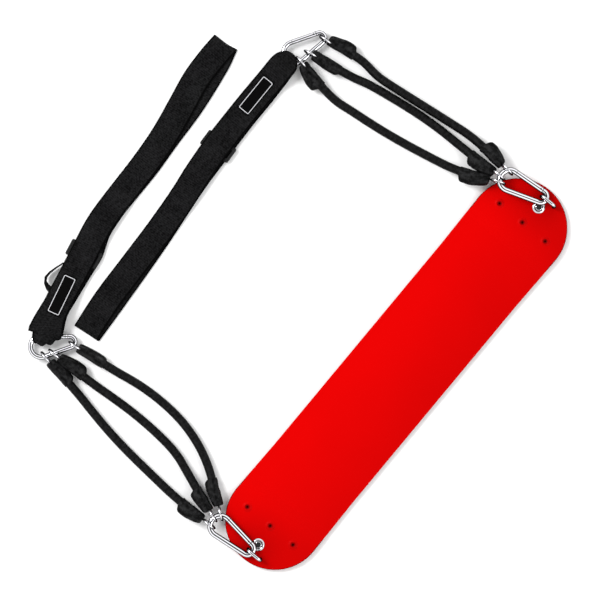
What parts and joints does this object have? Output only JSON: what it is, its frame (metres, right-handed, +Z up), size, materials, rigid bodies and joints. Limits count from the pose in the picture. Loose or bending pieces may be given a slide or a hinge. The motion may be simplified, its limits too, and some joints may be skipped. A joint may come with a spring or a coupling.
{
  "type": "belt swing seat",
  "caption": "Flexible belt swing seat laid flat, with elastic hanging cords, snap hooks and adjustable webbing loops for hanging it from a branch or beam.",
  "frame": {"origin": "middle of the seat's underside, on the surface the swing lies on", "axes": "+X along the seat's long axis, +Y across it towards the cords and straps, +Z up from the surface it lies on"},
  "size_m": [0.6765, 0.5704, 0.032],
  "materials": {
    "seat_rubber": "moulded, satin, fine bumps",
    "insert_steel": "plain plate, moulded in",
    "anchor_steel": "zinc plated",
    "hook_steel": "bright zinc plated",
    "spring_steel": "plain wire",
    "ring_steel": "bright zinc plated",
    "cord_cover": "fine braided cover, matte",
    "sleeve_rubber": "moulded, satin",
    "webbing": "woven polyester webbing",
    "slider_steel": "moulded, matt black",
    "label_vinyl": "printed label, plain border only"
  },
  "bodies": {
    "seat": {"seat": "seat_rubber", "left_insert_plate": "insert_steel", "left_anchor_loop": "anchor_steel", "left_anchor_rivet": "anchor_steel", "left_rivet_washer": "anchor_steel", "right_insert_plate": "insert_steel", "right_anchor_loop": "anchor_steel", "right_anchor_rivet": "anchor_steel", "right_rivet_washer": "anchor_steel"},
    "left_seat_hook_body": {"left_seat_hook": "hook_steel", "left_seat_hook_gate_pin": "hook_steel"},
    "left_seat_gate": {"left_seat_hook_gate": "hook_steel", "left_seat_hook_gate_spring": "spring_steel"},
    "left_cords": {"left_cord_inner": "cord_cover", "left_cord_inner_seat_sleeve": "sleeve_rubber", "left_cord_inner_strap_sleeve": "sleeve_rubber", "left_cord_middle": "cord_cover", "left_cord_middle_seat_sleeve": "sleeve_rubber", "left_cord_middle_strap_sleeve": "sleeve_rubber", "left_cord_outer": "cord_cover", "left_cord_outer_seat_sleeve": "sleeve_rubber", "left_cord_outer_strap_sleeve": "sleeve_rubber", "left_seat_rings": "ring_steel", "left_strap_rings": "ring_steel"},
    "left_strap_hook_body": {"left_strap_hook": "hook_steel", "left_strap_hook_gate_pin": "hook_steel"},
    "left_strap_gate": {"left_strap_hook_gate": "hook_steel", "left_strap_hook_gate_spring": "spring_steel"},
    "left_webbing": {"left_strap": "webbing", "left_strap_label": "label_vinyl"},
    "left_slider": {"left_strap_slider": "slider_steel"},
    "right_seat_hook_body": {"right_seat_hook": "hook_steel", "right_seat_hook_gate_pin": "hook_steel"},
    "right_seat_gate": {"right_seat_hook_gate": "hook_steel", "right_seat_hook_gate_spring": "spring_steel"},
    "right_cords": {"right_cord_inner": "cord_cover", "right_cord_inner_seat_sleeve": "sleeve_rubber", "right_cord_inner_strap_sleeve": "sleeve_rubber", "right_cord_middle": "cord_cover", "right_cord_middle_seat_sleeve": "sleeve_rubber", "right_cord_middle_strap_sleeve": "sleeve_rubber", "right_cord_outer": "cord_cover", "right_cord_outer_seat_sleeve": "sleeve_rubber", "right_cord_outer_strap_sleeve": "sleeve_rubber", "right_seat_rings": "ring_steel", "right_strap_rings": "ring_steel"},
    "right_strap_hook_body": {"right_strap_hook": "hook_steel", "right_strap_hook_gate_pin": "hook_steel"},
    "right_strap_gate": {"right_strap_hook_gate": "hook_steel", "right_strap_hook_gate_spring": "spring_steel"},
    "right_webbing": {"right_strap": "webbing", "right_strap_label": "label_vinyl"},
    "right_slider": {"right_strap_slider": "slider_steel"}
  },
  "joints": [
    {"name": "left_seat_hook_swing", "type": "hinge", "parent": "seat", "child": "left_seat_hook_body", "pos_m": [-0.32, -0.004, 0.0139], "axis": [1, 0, 0], "range_deg": [0, 90]},
    {"name": "left_seat_gate_open", "type": "hinge", "parent": "left_seat_hook_body", "child": "left_seat_gate", "pos_m": [-0.3108, 0.00961, 0.0139], "axis": [0, 0, 1], "range_deg": [0, 26], "stiffness_Nm_per_rad": 0.05, "springref_deg": -17.19},
    {"name": "left_cords_swing", "type": "hinge", "parent": "left_seat_hook_body", "child": "left_cords", "pos_m": [-0.32, 0.066, 0.0139], "axis": [1, 0, 0], "range_deg": [0, 20]},
    {"name": "left_strap_hook_swing", "type": "hinge", "parent": "left_cords", "child": "left_strap_hook_body", "pos_m": [-0.2782, 0.3838, 0.0076], "axis": [0.8638, -0.5038, 0], "range_deg": [0, 36]},
    {"name": "left_strap_gate_open", "type": "hinge", "parent": "left_strap_hook_body", "child": "left_strap_gate", "pos_m": [-0.25518, 0.38982, 0.0076], "axis": [0, 0, 1], "range_deg": [0, 22], "stiffness_Nm_per_rad": 0.05, "springref_deg": -17.19},
    {"name": "left_webbing_lift", "type": "hinge", "parent": "left_strap_hook_body", "child": "left_webbing", "pos_m": [-0.2636, 0.4005, 0.0076], "axis": [0.622, -0.783, 0], "range_deg": [0, 20]},
    {"name": "left_slider_slide", "type": "slide", "parent": "left_webbing", "child": "left_slider", "axis": [0.9783, 0.2072, 0], "range_m": [-0.025, 0.03]},
    {"name": "right_seat_hook_swing", "type": "hinge", "parent": "seat", "child": "right_seat_hook_body", "pos_m": [0.3214, -0.00424, 0.01302], "axis": [0.9744, 0.225, 0], "range_deg": [0, 90]},
    {"name": "right_seat_gate_open", "type": "hinge", "parent": "right_seat_hook_body", "child": "right_seat_gate", "pos_m": [0.32732, 0.01102, 0.01443], "axis": [0.0226, -0.098, 0.9949], "range_deg": [0, 26], "stiffness_Nm_per_rad": 0.05, "springref_deg": -17.19},
    {"name": "right_cords_swing", "type": "hinge", "parent": "right_seat_hook_body", "child": "right_cords", "pos_m": [0.3056, 0.0642, 0.02033], "axis": [0.9744, 0.225, 0], "range_deg": [0, 20]},
    {"name": "right_strap_hook_swing", "type": "hinge", "parent": "right_cords", "child": "right_strap_hook_body", "pos_m": [0.2719, 0.3789, 0.0076], "axis": [0.9859, -0.1676, 0], "range_deg": [-8, 0]},
    {"name": "right_strap_gate_open", "type": "hinge", "parent": "right_strap_hook_body", "child": "right_strap_gate", "pos_m": [0.29134, 0.39262, 0.0076], "axis": [0, 0, 1], "range_deg": [0, 22], "stiffness_Nm_per_rad": 0.05, "springref_deg": -17.19},
    {"name": "right_webbing_lift", "type": "hinge", "parent": "right_strap_hook_body", "child": "right_webbing", "pos_m": [0.24075, 0.40225, 0.0076], "axis": [0.3469, 0.9379, 0], "range_deg": [0, 18]},
    {"name": "right_slider_slide", "type": "slide", "parent": "right_webbing", "child": "right_slider", "axis": [0.9984, 0.0558, 0], "range_m": [-0.03, 0.04]}
  ]
}
